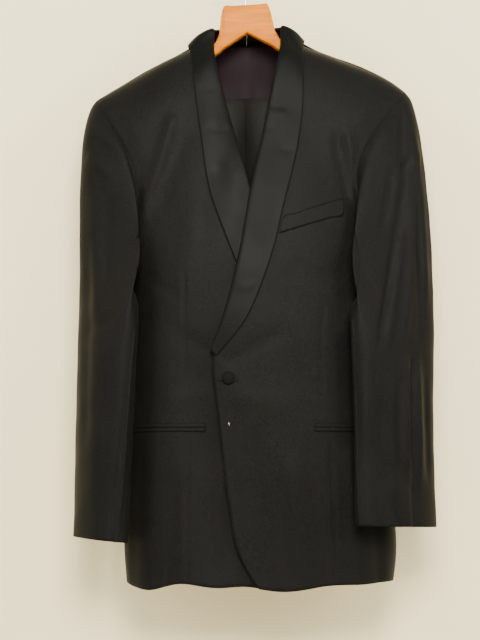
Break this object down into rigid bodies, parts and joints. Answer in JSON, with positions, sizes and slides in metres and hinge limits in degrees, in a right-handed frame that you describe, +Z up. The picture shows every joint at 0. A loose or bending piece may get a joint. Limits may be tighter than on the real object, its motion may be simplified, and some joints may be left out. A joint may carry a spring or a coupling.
{
  "type": "tuxedo on a wooden hanger",
  "caption": "Shawl-collar dinner jacket buttoned on a wooden hanger, with its trousers folded over the hanger's bar and showing in the open front.",
  "frame": {"origin": "inside top of the hanger's hook, where a rail carries it", "axes": "+Z up, -Y out of the jacket's front, +X towards the wearer's left (the viewer's right)"},
  "size_m": [0.5247, 0.1667, 0.942],
  "materials": {
    "cloth": "dark brown-black worsted with a faint sheen",
    "satin": "black-green satin, soft sheen",
    "lining": "aubergine lining cloth, soft sheen",
    "cuff_lining": "dark blue lining cloth, soft sheen",
    "trouser_cloth": "dark brown-black worsted",
    "wood": "pale beech under clear varnish",
    "steel": "bright drawn wire",
    "button": "covered in black satin, low sheen"
  },
  "bodies": {
    "root": {"back_left": "cloth", "back_right": "cloth", "breast_welt": "cloth", "cuff_button_left": "button", "cuff_button_right": "button", "cuff_lining_left": "cuff_lining", "cuff_lining_right": "cuff_lining", "front_button": "button", "front_left": "cloth", "front_right": "cloth", "hanger_bar": "wood", "hanger_body": "wood", "hanger_hook": "steel", "jet_lower_left": "cloth", "jet_lower_right": "cloth", "jet_upper_left": "cloth", "jet_upper_right": "cloth", "lining_back": "lining", "shawl_left": "satin", "shawl_right": "satin", "top_sleeve_left": "cloth", "top_sleeve_right": "cloth", "trouser_back_left": "trouser_cloth", "trouser_back_right": "trouser_cloth", "trouser_front_left": "trouser_cloth", "trouser_front_right": "trouser_cloth", "under_sleeve_left": "cloth", "under_sleeve_right": "cloth", "waistband_left": "trouser_cloth", "waistband_right": "trouser_cloth"}
  },
  "joints": []
}
